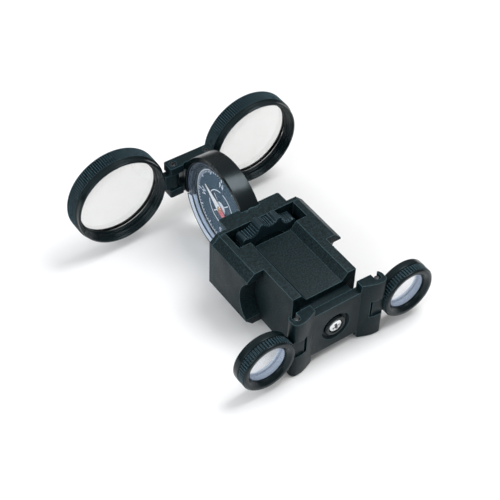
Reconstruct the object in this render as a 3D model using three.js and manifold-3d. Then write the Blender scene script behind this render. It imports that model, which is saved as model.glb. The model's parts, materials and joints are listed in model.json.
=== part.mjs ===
// Folding pocket binocular with a side-reading compass, opened for use.
// Millimetres, +Z up. +X runs from the left eyepiece to the right one and +Y from the
// eyepieces to the objectives. Inside this file y = 0 is the far face of the case and
// z = 0 its mid-height; the last lines move the origin to the bottom centre of the box.
import * as THREE from "three";
import { mergeVertices } from "three/addons/utils/BufferGeometryUtils.js";
import Module from "manifold-3d";

const wasm = await Module();
wasm.setup();

// Shared clearance between neighbouring pieces
const GAP = 0.3;

// Case
const CASE_H = 12.95;         // half height
const WIDE_X = 20.2;          // half width beside the compass end
const NARROW_X = 13.4;        // half width of the shank
const WIDE_END_Y = -23.3;
const CASE_END_Y = -40.3;
const CHAMFER = 3.0;
const FRAME_Y = -1.6;         // near face of the end frame
const SLOT_X = 14.7;
const SLOT_END_Y = -10.3;
const CHANNEL_TOP_X = 9.9;
const CHANNEL_FLOOR_X = 7.5;
const CHANNEL_DEPTH = 3.05;
const RECESS_R = 12.2;        // scoop that receives a folded eyepiece
const RECESS_Y = -31.2;
const RECESS_Z = -0.1;
const CAVITY_X = 10.3;
const CAVITY_Z = 7.1;
const CAVITY_END_Y = -13;
const TAB_X = 13.1;
const TAB_Y = 5.3;
const TAB_T = 1.0;

// Focus drive
const WHEEL_Z = 0.2;
const WHEEL_R = 15.6;
const WHEEL_VALLEY_R = 13.4;
const WHEEL_LOBES = 12;
const WHEEL_PHASE = 72;       // degrees from +X to the first crest
const WHEEL_Y = [-7.6, -2.6];
const SCREW_R = 2.0;

// Eyepiece bridge
const BRIDGE_Y = [-48.2, -45.1];
const BRIDGE_Z = [-10.4, 10];
const WING_X = 9.9;
const WING_Z = [-13.6, 12.95];
const BRIDGE_SCREW_Z = -1.1;
const EYE_PIN = [17.1, -47.2];

// Eyepieces and objectives
const LENS_Z = 0.18;
const EYE_CENTRE = [30, -48.2];
const OBJ_CENTRE = [30.3, 47];
const OBJ_PIN = [7.5, 44.25];

// Objective bar
const BAR_Y = [41.6, 46.9];
const BAR_Z = [-7.1, 7.45];
const BAR_SLOT_X = 3.4;
const ARM_Z = [-3.3, 3.6];

// Compass drum, its axis along X
const DRUM_Y = 20.9;
const DRUM_Z = -0.4;
const HOOD_R = 21.4;
const HOOD_IN_R = 19.5;
const HOOD_X = 3.8;
const CAPSULE_R = 19.2;
const FLANGE_R = 21.1;
const DIAL_R = 16.0;
const NEEDLE_ANGLE = 52;      // white end, degrees from +Y towards +Z

const black = { color: 0x1b1e1f, roughness: 0.55, metalness: 0.0 };
const gloss = { color: 0x131516, roughness: 0.3, metalness: 0.0 };
const steel = { color: 0xc9cbcc, roughness: 0.3, metalness: 1.0 };
const dark = { color: 0x2a2c2e, roughness: 0.45, metalness: 0.8 };
const brass = { color: 0xc2a25a, roughness: 0.35, metalness: 1.0 };
const clear = { color: 0xdfe8f2, roughness: 0.05, metalness: 0.0, transparent: true, opacity: 0.35 };
const glass = { color: 0xe6ecee, roughness: 0.02, metalness: 0.0, transparent: true, opacity: 0.3 };
const dialBlue = { color: 0x8d99ad, roughness: 0.5, metalness: 0.0 };
const needlePaint = { color: 0xd8dadd, roughness: 0.4, metalness: 0.2 };

const rad = (deg) => (deg * Math.PI) / 180;

// ---- geometry helpers -------------------------------------------------------------

function signedVolume(positions, index) {
  const a = new THREE.Vector3();
  const b = new THREE.Vector3();
  const c = new THREE.Vector3();
  let sum = 0;
  for (let i = 0; i < index.length; i += 3) {
    a.fromArray(positions, index[i] * 3);
    b.fromArray(positions, index[i + 1] * 3);
    c.fromArray(positions, index[i + 2] * 3);
    sum += a.dot(b.cross(c)) / 6;
  }
  return sum;
}

function solid(geometry) {
  const bare = geometry.clone();
  bare.deleteAttribute("normal");
  bare.deleteAttribute("uv");
  const merged = mergeVertices(bare, 1e-4);
  const positions = merged.attributes.position.array;
  const kept = [];
  const source = merged.index.array;
  for (let i = 0; i < source.length; i += 3) {
    const [a, b, c] = [source[i], source[i + 1], source[i + 2]];
    if (a !== b && b !== c && a !== c) {
      kept.push(a, b, c);
    }
  }
  if (signedVolume(positions, kept) < 0) {
    for (let i = 0; i < kept.length; i += 3) {
      [kept[i + 1], kept[i + 2]] = [kept[i + 2], kept[i + 1]];
    }
  }
  return new wasm.Manifold(new wasm.Mesh({
    numProp: 3,
    vertProperties: new Float32Array(positions),
    triVerts: new Uint32Array(kept),
  }));
}

function toGeometry(body) {
  const mesh = body.getMesh();
  const geometry = new THREE.BufferGeometry();
  geometry.setAttribute("position", new THREE.BufferAttribute(new Float32Array(mesh.vertProperties), 3));
  geometry.setIndex(new THREE.BufferAttribute(new Uint32Array(mesh.triVerts), 1));
  geometry.computeVertexNormals();
  return geometry;
}

function box(x0, x1, y0, y1, z0, z1) {
  const geometry = new THREE.BoxGeometry(x1 - x0, y1 - y0, z1 - z0);
  geometry.translate((x0 + x1) / 2, (y0 + y1) / 2, (z0 + z1) / 2);
  return solid(geometry);
}

function shapeOf(points, holes = []) {
  const shape = new THREE.Shape(points.map(([u, v]) => new THREE.Vector2(u, v)));
  for (const hole of holes) {
    shape.holes.push(new THREE.Path(hole.map(([u, v]) => new THREE.Vector2(u, v))));
  }
  return shape;
}

// Outline in (x, y), pulled up along Z
function prismZ(points, z0, z1, holes = []) {
  const geometry = new THREE.ExtrudeGeometry(shapeOf(points, holes), { depth: z1 - z0, bevelEnabled: false });
  geometry.translate(0, 0, z0);
  return solid(geometry);
}

// Outline in (x, z), pulled along Y
function prismY(points, y0, y1, holes = []) {
  const geometry = new THREE.ExtrudeGeometry(shapeOf(points, holes), { depth: y1 - y0, bevelEnabled: false });
  geometry.rotateX(Math.PI / 2);
  geometry.translate(0, y1, 0);
  return solid(geometry);
}

// Outline in (y, z), pulled along X
function prismX(points, x0, x1, holes = []) {
  const geometry = new THREE.ExtrudeGeometry(shapeOf(points, holes), { depth: x1 - x0, bevelEnabled: false });
  geometry.rotateX(Math.PI / 2);
  geometry.rotateZ(Math.PI / 2);
  geometry.translate(x0, 0, 0);
  return solid(geometry);
}

function circle(cu, cv, r, count, from = 0, to = 360) {
  const points = [];
  const full = to - from === 360;
  const last = full ? count - 1 : count;
  for (let i = 0; i <= last; i += 1) {
    const t = rad(from + ((to - from) * i) / count);
    points.push([cu + r * Math.cos(t), cv + r * Math.sin(t)]);
  }
  return points;
}

function rodY(x, z, r, y0, y1, count = 24) {
  return prismY(circle(x, z, r, count), y0, y1);
}

function rodX(y, z, r, x0, x1, count = 24) {
  return prismX(circle(y, z, r, count), x0, x1);
}

function rodZ(x, y, r, z0, z1, count = 24) {
  return prismZ(circle(x, y, r, count), z0, z1);
}

// Closed outline of (radius, y) turned about an axis parallel to Y through (x, z)
function turnY(outline, x, z, count) {
  const points = outline.map(([r, y]) => new THREE.Vector2(r, y));
  if (outline[0][0] > 0) {
    points.push(points[0].clone());
  }
  const geometry = new THREE.LatheGeometry(points, count);
  geometry.translate(x, 0, z);
  return solid(geometry);
}

// Closed outline of (radius, x) turned about the compass axis
function turnDrum(outline, count) {
  const points = outline.map(([r, x]) => new THREE.Vector2(r, x));
  if (outline[0][0] > 0) {
    points.push(points[0].clone());
  }
  const geometry = new THREE.LatheGeometry(points, count);
  geometry.rotateZ(-Math.PI / 2);
  geometry.translate(0, DRUM_Y, DRUM_Z);
  return solid(geometry);
}

const mirrored = (points, side) => points.map(([u, v]) => [side * u, v]);

const parts = new THREE.Group();
parts.name = "folding_pocket_binocular";

function add(name, body, look) {
  const mesh = new THREE.Mesh(toGeometry(body), new THREE.MeshStandardMaterial(look));
  mesh.name = name;
  parts.add(mesh);
}

// ---- case -------------------------------------------------------------------------

function octagon(x, h, cut) {
  return [[-x, -h + cut], [-x + cut, -h], [x - cut, -h], [x, -h + cut],
    [x, h - cut], [x - cut, h], [-x + cut, h], [-x, h - cut]];
}

function channelTrough(sign) {
  const top = sign * (CASE_H + 1);
  const rim = sign * CASE_H;
  const floor = sign * (CASE_H - CHANNEL_DEPTH);
  return prismY([[-CHANNEL_TOP_X, top], [-CHANNEL_TOP_X, rim], [-CHANNEL_FLOOR_X, floor],
    [CHANNEL_FLOOR_X, floor], [CHANNEL_TOP_X, rim], [CHANNEL_TOP_X, top]], CASE_END_Y - 1, SLOT_END_Y + 1);
}

function buildCase() {
  const farY = FRAME_Y - GAP;
  let body = prismY(octagon(WIDE_X, CASE_H, CHAMFER), WIDE_END_Y, farY);
  body = body.add(box(-NARROW_X, NARROW_X, CASE_END_Y, WIDE_END_Y + 1, -CASE_H, CASE_H));
  body = body.subtract(channelTrough(1)).subtract(channelTrough(-1));
  body = body.subtract(box(-SLOT_X, SLOT_X, SLOT_END_Y, farY + 1, -CASE_H - 1, CASE_H + 1));
  body = body.subtract(rodY(0, WHEEL_Z, WHEEL_R + 0.5, SLOT_END_Y, farY + 1, 48));
  body = body.subtract(box(-CAVITY_X, CAVITY_X, CASE_END_Y - 1, CAVITY_END_Y, -CAVITY_Z, CAVITY_Z));
  body = body.subtract(rodY(0, WHEEL_Z, SCREW_R + GAP, CAVITY_END_Y - 1, SLOT_END_Y + 1));
  for (const side of [-1, 1]) {
    const inner = side * NARROW_X;
    const outer = side * (WIDE_X + 1);
    const [x0, x1] = [Math.min(inner, outer), Math.max(inner, outer)];
    body = body.subtract(rodX(RECESS_Y, RECESS_Z, RECESS_R, x0, x1, 56));
    for (const z of [-6, 6]) {
      body = body.subtract(rodY(side * 17.9, z, 1.0, -9, farY + 1, 16));
    }
  }
  return body;
}

function buildEndFrame() {
  let body = prismY(octagon(WIDE_X, CASE_H, CHAMFER), FRAME_Y, 0);
  const r = 0.8;
  const tab = [[-TAB_X, -0.5], [TAB_X, -0.5], ...circle(TAB_X - r, TAB_Y - r, r, 4, 0, 90),
    ...circle(-TAB_X + r, TAB_Y - r, r, 4, 90, 180)];
  body = body.add(prismZ(tab, CASE_H - TAB_T, CASE_H));
  // Gusset under the tab
  body = body.add(prismX([[-0.5, CASE_H - 3.2], [0, CASE_H - 3.2], [3.6, CASE_H - TAB_T],
    [3.6, CASE_H - 0.2], [-0.5, CASE_H - 0.2]], -TAB_X + 1, TAB_X - 1));
  // Shallow arched ridge on the tab
  const ridge = [...circle(0, -0.2, 4.2, 12, 52, 128), ...circle(0, -0.2, 3.8, 12, 52, 128).reverse()];
  body = body.add(prismZ(ridge, CASE_H - 0.2, CASE_H + 0.12));
  // Relief for the compass hood and the pocket for its tenon
  body = body.subtract(rodX(DRUM_Y, DRUM_Z, HOOD_R + GAP, -HOOD_X - GAP, HOOD_X + GAP, 96)
    .intersect(box(-9, 9, -0.6, 12, -13, 13)));
  body = body.subtract(box(-HOOD_X - GAP, HOOD_X + GAP, 0, 9, -9, CASE_H - TAB_T));
  body = body.subtract(box(-2.8, 2.8, -1.2, 1, -3.3, 6.3));
  // Counterbored screw holes
  for (const side of [-1, 1]) {
    for (const z of [-6, 6]) {
      body = body.subtract(rodY(side * 17.9, z, 1.7, -0.8, 1, 20));
      body = body.subtract(rodY(side * 17.9, z, 1.0, FRAME_Y - 1, 0, 16));
    }
  }
  return body;
}

function buildFrameScrew(x, z) {
  const head = turnY([[0, -0.5], [1.4, -0.5], [1.4, -0.1], [1.2, 0], [0, 0]], x, z, 20);
  const shank = rodY(x, z, 0.7, -8, -0.4, 16);
  const slot = box(x - 2, x + 2, -0.25, 1, z - 0.2, z + 0.2);
  return head.add(shank).subtract(slot);
}

add("case_body", buildCase(), black);
add("end_frame", buildEndFrame(), black);
for (const [side, word] of [[-1, "left"], [1, "right"]]) {
  add(`${word}_upper_frame_screw`, buildFrameScrew(side * 17.9, 6), dark);
  add(`${word}_lower_frame_screw`, buildFrameScrew(side * 17.9, -6), dark);
}

// ---- focus drive ------------------------------------------------------------------

function buildWheel() {
  const outline = [];
  const steps = 10;
  const mid = (WHEEL_R + WHEEL_VALLEY_R) / 2;
  const swing = (WHEEL_R - WHEEL_VALLEY_R) / 2;
  for (let lobe = 0; lobe < WHEEL_LOBES; lobe += 1) {
    for (let i = 0; i < steps; i += 1) {
      const phase = (lobe + i / steps) * 2 * Math.PI;
      const wave = Math.cos(phase);
      const shaped = Math.sign(wave) * Math.min(1, Math.abs(wave) * 1.25);
      const angle = rad(WHEEL_PHASE) + phase / WHEEL_LOBES;
      const r = mid + swing * shaped;
      outline.push([r * Math.cos(angle), WHEEL_Z + r * Math.sin(angle)]);
    }
  }
  const wheel = prismY(outline, WHEEL_Y[0], WHEEL_Y[1], [circle(0, WHEEL_Z, SCREW_R + GAP, 24)]);
  const hub = turnY([[SCREW_R + GAP, WHEEL_Y[0] - 1.6], [5, WHEEL_Y[0] - 1.6], [5, WHEEL_Y[0] + 0.5],
    [SCREW_R + GAP, WHEEL_Y[0] + 0.5]], 0, WHEEL_Z, 24);
  return wheel.add(hub);
}

function buildScrew() {
  const outline = [[0, FRAME_Y - GAP], [1.6, FRAME_Y - GAP], [SCREW_R, FRAME_Y - 0.7], [SCREW_R, -13.4]];
  // Coarse thread drawn as shallow rings
  for (let y = -15.4; y > -30; y -= 4) {
    outline.push([SCREW_R, y + 1.3], [SCREW_R - 0.35, y + 0.8]);
    outline.push([SCREW_R - 0.35, y - 0.8], [SCREW_R, y - 1.3]);
  }
  outline.push([SCREW_R, -32.2], [1.5, -32.8], [0, -32.8]);
  return turnY(outline, 0, WHEEL_Z, 16);
}

function buildNut() {
  const bore = SCREW_R + GAP;
  return turnY([[bore, -23.6], [3.9, -23.6], [3.9, -18.2], [bore, -18.2]], 0, WHEEL_Z, 28);
}

function buildSlide() {
  const nearY = BRIDGE_Y[1] + GAP;
  let body = box(-CAVITY_X + GAP, CAVITY_X - GAP, nearY, -18, -CAVITY_Z + GAP, CAVITY_Z - GAP);
  body = body.subtract(rodY(0, WHEEL_Z, 4.2, -23.9, -17, 28));
  body = body.subtract(rodY(0, WHEEL_Z, SCREW_R + 0.4, -37.4, -23, 24));
  body = body.subtract(rodY(0, BRIDGE_SCREW_Z, 1.5, nearY - 1, -39.4, 20));
  return body;
}

add("focus_wheel", buildWheel(), black);
add("focus_screw", buildScrew(), steel);
add("screw_nut", buildNut(), brass);
add("eyepiece_slide", buildSlide(), black);

// ---- eyepiece bridge --------------------------------------------------------------

// Half outline seen from above: middle bar, raised wing, open hook round the pin
function wingOutline(side) {
  const [px, py] = EYE_PIN;
  const points = [[WING_X, BRIDGE_Y[1]], [WING_X, BRIDGE_Y[0]], [13.6, -49.7], [15.6, -50.3],
    ...circle(17.9, -48.65, 1.75, 6, 270, 360), ...circle(px, py, 2.55, 4, 0, 44),
    [18.6, -45.3], [18.4, -45.5], [18.4, -47.9], [18.0, -48.4], [17.1, -48.6], [16.2, -48.4], [15.8, -47.9], [15.8, -45.3]];
  return mirrored(points, side);
}

function buildEyepieceBridge() {
  let body = box(-WING_X - 0.5, WING_X + 0.5, BRIDGE_Y[0], BRIDGE_Y[1], BRIDGE_Z[0], BRIDGE_Z[1]);
  for (const side of [-1, 1]) {
    let wing = prismZ(wingOutline(side), WING_Z[0], WING_Z[1]);
    const [x0, x1] = side > 0 ? [13.6, 30] : [-30, -13.6];
    wing = wing.subtract(box(x0, x1, -60, -40, LENS_Z - 3.9, LENS_Z + 3.9));
    // The lower outer corner is cut back
    const corner = [[WING_X - 1, -14.2], [WING_X + 0.9, -14.2], [WING_X - 1, -11.8]];
    wing = wing.subtract(prismY(mirrored(corner, side), -55, -44));
    body = body.add(wing);
  }
  const dishOutline = [[0, -47], [5.2, -47], [6.0, BRIDGE_Y[0]], [6.0, -52], [0, -52]];
  const dish = turnY(dishOutline, 0, BRIDGE_SCREW_Z, 40);
  body = body.subtract(dish);
  body = body.subtract(rodY(0, BRIDGE_SCREW_Z, 1.5, -52, -40, 20));
  return body;
}

function buildBridgeCollar() {
  return turnY([[2.75, -47.3], [4.2, -47.3], [4.4, -47.7], [3.8, -48.3], [3.0, -48.3], [2.75, -48.0]],
    0, BRIDGE_SCREW_Z, 36);
}

function buildBridgeScrew() {
  let body = turnY([[0, -48.5], [1.6, -48.45], [2.3, -48.15], [2.45, -47.8], [2.45, -47.3], [1.2, -47.3],
    [1.2, -40.2], [0.8, -39.8], [0, -39.8]], 0, BRIDGE_SCREW_Z, 24);
  const arm = 0.32;
  const reach = 1.35;
  body = body.subtract(box(-arm, arm, -49, -47.8, BRIDGE_SCREW_Z - reach, BRIDGE_SCREW_Z + reach));
  body = body.subtract(box(-reach, reach, -49, -47.8, BRIDGE_SCREW_Z - arm, BRIDGE_SCREW_Z + arm));
  return body;
}

add("eyepiece_bridge", buildEyepieceBridge(), black);
add("bridge_collar", buildBridgeCollar(), gloss);
add("bridge_screw", buildBridgeScrew(), steel);

// ---- eyepieces --------------------------------------------------------------------

function ribbedRing(cx, rOut, rRoot, rIn, y0, y1, teeth) {
  const outline = [];
  for (let i = 0; i < teeth; i += 1) {
    for (const [share, r] of [[0, rRoot], [0.22, rOut], [0.68, rOut], [0.9, rRoot]]) {
      const t = ((i + share) / teeth) * 2 * Math.PI;
      outline.push([cx + r * Math.cos(t), LENS_Z + r * Math.sin(t)]);
    }
  }
  return prismY(outline, y0, y1, [circle(cx, LENS_Z, rIn, 36)]);
}

function buildEyepieceCell(side) {
  const cx = side * EYE_CENTRE[0];
  let body = turnY([[8.8, -44.95], [10.5, -44.95], [10.8, -45.25], [10.8, -47.7], [10.3, -48.0], [10.3, -50.9],
    [9.9, -51.45], [8.7, -51.45], [7.3, -50.2], [7.2, -49.3], [8.4, -49.3], [8.4, -45.25]], cx, LENS_Z, 40);
  body = body.add(ribbedRing(cx, 10.75, 10.15, 9.4, -50.7, -47.9, 36));
  const [px, py] = EYE_PIN;
  const arm = [[px, py + 1.2], [px, py - 2.1], [19.8, py - 2.4], [21.6, py - 2.4], [21.6, py + 1.2]];
  let hinge = prismZ(mirrored(arm, side), LENS_Z - 3.6, LENS_Z + 3.6);
  hinge = hinge.subtract(rodY(cx, LENS_Z, 9.4, -60, -40, 40));
  hinge = hinge.add(rodZ(side * px, py, 2.1, LENS_Z - 3.6, LENS_Z + 3.6));
  hinge = hinge.subtract(rodZ(side * px, py, 1.3, -6, 7));
  return body.add(hinge);
}

function buildEyepieceLens(side) {
  return turnY([[0, -48.5], [3.8, -48.65], [6.6, -49.0], [8.1, -49.0], [8.1, -46.9], [6.6, -46.9], [3.6, -47.5],
    [0, -47.7]], side * EYE_CENTRE[0], LENS_Z, 32);
}

function buildEyepieceRetainer(side) {
  return turnY([[6.9, -46.6], [8.1, -46.6], [8.1, -45.6], [7.4, -45.6]], side * EYE_CENTRE[0], LENS_Z, 32);
}

function buildEyepiecePin(side) {
  return rodZ(side * EYE_PIN[0], EYE_PIN[1], 1.0, WING_Z[0] + 0.4, WING_Z[1] - 0.4, 16);
}

// ---- objectives -------------------------------------------------------------------

function buildObjectiveCell(side) {
  const cx = side * OBJ_CENTRE[0];
  let body = turnY([[17.9, 42.8], [18.6, 42.9], [18.7, 43.2], [18.7, 44.9], [19.4, 45.2], [19.4, 50.8],
    [19.1, 51.2], [17.8, 51.2], [17.8, 47.2], [15.6, 47.2], [15.6, 46.2], [16.5, 45.4], [16.5, 44.3],
    [17.5, 43.9]], cx, LENS_Z, 60);
  const [px, py] = OBJ_PIN;
  const arm = [[px, py + 1.5], [px, py - 2.1], [12.0, py - 1.3], [13.8, py + 0.2], [13.8, py + 2.6],
    [11.8, py + 2.6]];
  let hinge = prismZ(mirrored(arm, side), ARM_Z[0], ARM_Z[1]);
  hinge = hinge.subtract(rodY(cx, LENS_Z, 18.1, 30, 60, 60));
  hinge = hinge.add(rodZ(side * px, py, 2.3, ARM_Z[0], ARM_Z[1]));
  hinge = hinge.subtract(rodZ(side * px, py, 1.5, -6, 7));
  return body.add(hinge);
}

function buildObjectiveLens(side) {
  return turnY([[0, 46.9], [8, 47.15], [13.5, 47.55], [17.5, 47.55], [17.5, 49.0], [13.5, 49.3], [8, 50.0],
    [0, 50.4]], side * OBJ_CENTRE[0], LENS_Z, 40);
}

function buildObjectiveRetainer(side) {
  return turnY([[15.9, 49.6], [17.5, 49.3], [17.5, 50.9], [16.4, 50.9]], side * OBJ_CENTRE[0], LENS_Z, 40);
}

function buildObjectivePin(side) {
  const [px, py] = OBJ_PIN;
  const collar = rodZ(side * px, py, 1.2, BAR_Z[0] + 0.1, BAR_Z[1] - 0.1, 20);
  return collar.subtract(rodZ(side * px, py, 0.5, BAR_Z[1] - 0.8, BAR_Z[1] + 1, 12));
}

for (const [side, word] of [[-1, "left"], [1, "right"]]) {
  add(`${word}_eyepiece_pin`, buildEyepiecePin(side), steel);
  add(`${word}_eyepiece_cell`, buildEyepieceCell(side), black);
  add(`${word}_eyepiece_lens`, buildEyepieceLens(side), glass);
  add(`${word}_eyepiece_retainer`, buildEyepieceRetainer(side), gloss);
  add(`${word}_objective_pin`, buildObjectivePin(side), dark);
  add(`${word}_objective_cell`, buildObjectiveCell(side), black);
  add(`${word}_objective_lens`, buildObjectiveLens(side), glass);
  add(`${word}_objective_retainer`, buildObjectiveRetainer(side), gloss);
}

// ---- objective bar ----------------------------------------------------------------

function buildObjectiveBridge() {
  const [px, py] = OBJ_PIN;
  const outline = [[-px, BAR_Y[0]], [px, BAR_Y[0]], ...circle(px, py, 2.65, 10, -90, 90),
    [px, BAR_Y[1]], [-px, BAR_Y[1]], ...circle(-px, py, 2.65, 10, 90, 270)];
  let body = prismZ(outline, BAR_Z[0], BAR_Z[1]);
  for (const side of [-1, 1]) {
    const [x0, x1] = side > 0 ? [BAR_SLOT_X, 20] : [-20, -BAR_SLOT_X];
    body = body.subtract(box(x0, x1, 35, 50, ARM_Z[0] - GAP, ARM_Z[1] + GAP));
    body = body.subtract(rodZ(side * px, py, 1.5, -10, 10));
  }
  body = body.subtract(rodX(DRUM_Y, DRUM_Z, HOOD_R + GAP, -HOOD_X - GAP, HOOD_X + GAP, 96));
  return body.subtract(box(-1.3, 1.3, 42, 44.4, -1.8, 3));
}

add("objective_bridge", buildObjectiveBridge(), black);

// ---- compass ----------------------------------------------------------------------

function drumSector(rIn, rOut, from, to, count, x0, x1) {
  const outline = [...circle(DRUM_Y, DRUM_Z, rOut, count, from, to),
    ...circle(DRUM_Y, DRUM_Z, rIn, count, from, to).reverse()];
  return prismX(outline, x0, x1);
}

function buildHood() {
  let body = drumSector(HOOD_IN_R, HOOD_R, -16, 196, 60, -HOOD_X, HOOD_X);
  // Neck under the tab with a tenon for the end frame, and a key for the objective bar
  const neck = box(-HOOD_X, HOOD_X, GAP, 5, -5.6, 9.4)
    .add(box(-2.5, 2.5, -0.9, 1, -3, 6));
  body = body.add(neck.subtract(rodX(DRUM_Y, DRUM_Z, HOOD_R - 0.8, -9, 9, 96)));
  return body.add(box(-1, 1, 41, 43.9, -1.5, 2.7));
}

function buildCapsule() {
  const wall = turnDrum([[0, 2.4], [18.2, 2.4], [18.2, -2.3], [18.6, -2.3], [18.6, -3.4], [CAPSULE_R, -3.4],
    [CAPSULE_R, 3.2], [0, 3.2]], 64);
  const rim = drumSector(CAPSULE_R - 0.4, FLANGE_R, 199, 341, 40, -2.6, 2.6);
  const cup = wall.add(rim);
  return cup.subtract(rodX(DRUM_Y, DRUM_Z, 0.7, 2, 2.8, 12));
}

function buildNeedle() {
  const t = rad(NEEDLE_ANGLE);
  const place = ([along, across]) => [DRUM_Y + along * Math.cos(t) - across * Math.sin(t),
    DRUM_Z + along * Math.sin(t) + across * Math.cos(t)];
  const blade = [[11, 0], [1.2, 1.5], [-1.2, 1.5], [-11, 0], [-1.2, -1.5], [1.2, -1.5]].map(place);
  const plate = prismX(blade, -2.15, -1.85).add(rodX(DRUM_Y, DRUM_Z, 2.0, -2.35, -1.75, 20));
  return plate.subtract(rodX(DRUM_Y, DRUM_Z, 0.7, -4, 0, 12));
}

add("compass_hood", buildHood(), gloss);
add("compass_capsule", buildCapsule(), clear);
add("compass_window", rodX(DRUM_Y, DRUM_Z, 18.3, -3.3, -2.75, 64), glass);
const pivotHole = circle(DRUM_Y, DRUM_Z, 0.7, 12);
add("compass_dial", prismX(circle(DRUM_Y, DRUM_Z, DIAL_R, 56), -1.2, -0.5, [pivotHole]), dialBlue);
const ringIn = DIAL_R + GAP;
add("dial_ring", turnDrum([[ringIn, -1.5], [17.6, -1.8], [17.8, -1.6], [17.8, 0], [ringIn, 0]], 56), gloss);
add("needle_pivot", rodX(DRUM_Y, DRUM_Z, 0.4, -2.5, 2.5, 12), brass);
add("compass_needle", buildNeedle(), needlePaint);

// ---- origin at the bottom centre of the bounding box ------------------------------

parts.updateMatrixWorld(true);
const bounds = new THREE.Box3().setFromObject(parts);
parts.position.set(-(bounds.min.x + bounds.max.x) / 2, -(bounds.min.y + bounds.max.y) / 2, -bounds.min.z);

export default parts;
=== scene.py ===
"""Folding pocket binocular with a side-reading compass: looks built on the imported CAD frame."""
import json
import math

import bmesh
import bpy
from mathutils import Matrix, Vector


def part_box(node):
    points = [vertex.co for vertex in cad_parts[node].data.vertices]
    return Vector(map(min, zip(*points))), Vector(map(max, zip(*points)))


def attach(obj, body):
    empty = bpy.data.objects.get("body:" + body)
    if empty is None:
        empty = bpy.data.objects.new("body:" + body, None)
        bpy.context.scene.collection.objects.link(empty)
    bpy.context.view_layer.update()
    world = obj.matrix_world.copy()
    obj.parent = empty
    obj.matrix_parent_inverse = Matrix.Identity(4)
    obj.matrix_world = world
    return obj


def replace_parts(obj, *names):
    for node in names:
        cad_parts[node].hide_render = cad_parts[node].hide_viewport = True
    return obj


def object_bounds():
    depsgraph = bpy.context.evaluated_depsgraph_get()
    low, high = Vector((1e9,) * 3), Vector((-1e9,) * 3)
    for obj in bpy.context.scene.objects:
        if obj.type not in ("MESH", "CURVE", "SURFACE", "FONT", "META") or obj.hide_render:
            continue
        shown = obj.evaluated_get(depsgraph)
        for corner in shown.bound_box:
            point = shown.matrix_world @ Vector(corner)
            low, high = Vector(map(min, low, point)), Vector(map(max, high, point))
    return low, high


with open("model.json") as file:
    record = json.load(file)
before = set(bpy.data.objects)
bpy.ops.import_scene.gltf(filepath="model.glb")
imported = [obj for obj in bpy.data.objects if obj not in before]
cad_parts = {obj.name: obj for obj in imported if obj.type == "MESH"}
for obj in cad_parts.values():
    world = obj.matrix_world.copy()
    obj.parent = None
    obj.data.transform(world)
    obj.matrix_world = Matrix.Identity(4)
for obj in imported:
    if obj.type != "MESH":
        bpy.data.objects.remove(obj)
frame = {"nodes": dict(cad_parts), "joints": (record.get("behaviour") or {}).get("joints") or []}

CAD_LOW, CAD_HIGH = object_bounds()

# ---- shared frame ---------------------------------------------------------------------
# Shapes are written in millimetres with y = 0 at the case's far face and z = 0 at its
# mid-height; PLACE carries them into the row frame.
case_low, case_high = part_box("case_body")
CASE_NEAR_Y = -40.3             # near face of the case in those millimetres
PLACE = Matrix.Translation((0, case_low.y - CASE_NEAR_Y * 0.001, (case_low.z + case_high.z) / 2))
PLACE = PLACE @ Matrix.Scale(0.001, 4)
BACK = PLACE.inverted()


def box_mm(node):
    """Lowest and highest corner of a CAD node in millimetres."""
    low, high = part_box(node)
    return BACK @ low, BACK @ high


def middle(node):
    low, high = box_mm(node)
    return (low + high) / 2


JOINTS = {joint["name"]: joint for joint in frame["joints"]}


def pivot_mm(joint):
    return BACK @ Vector(JOINTS[joint]["pos_m"])


# ---- materials ------------------------------------------------------------------------

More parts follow.
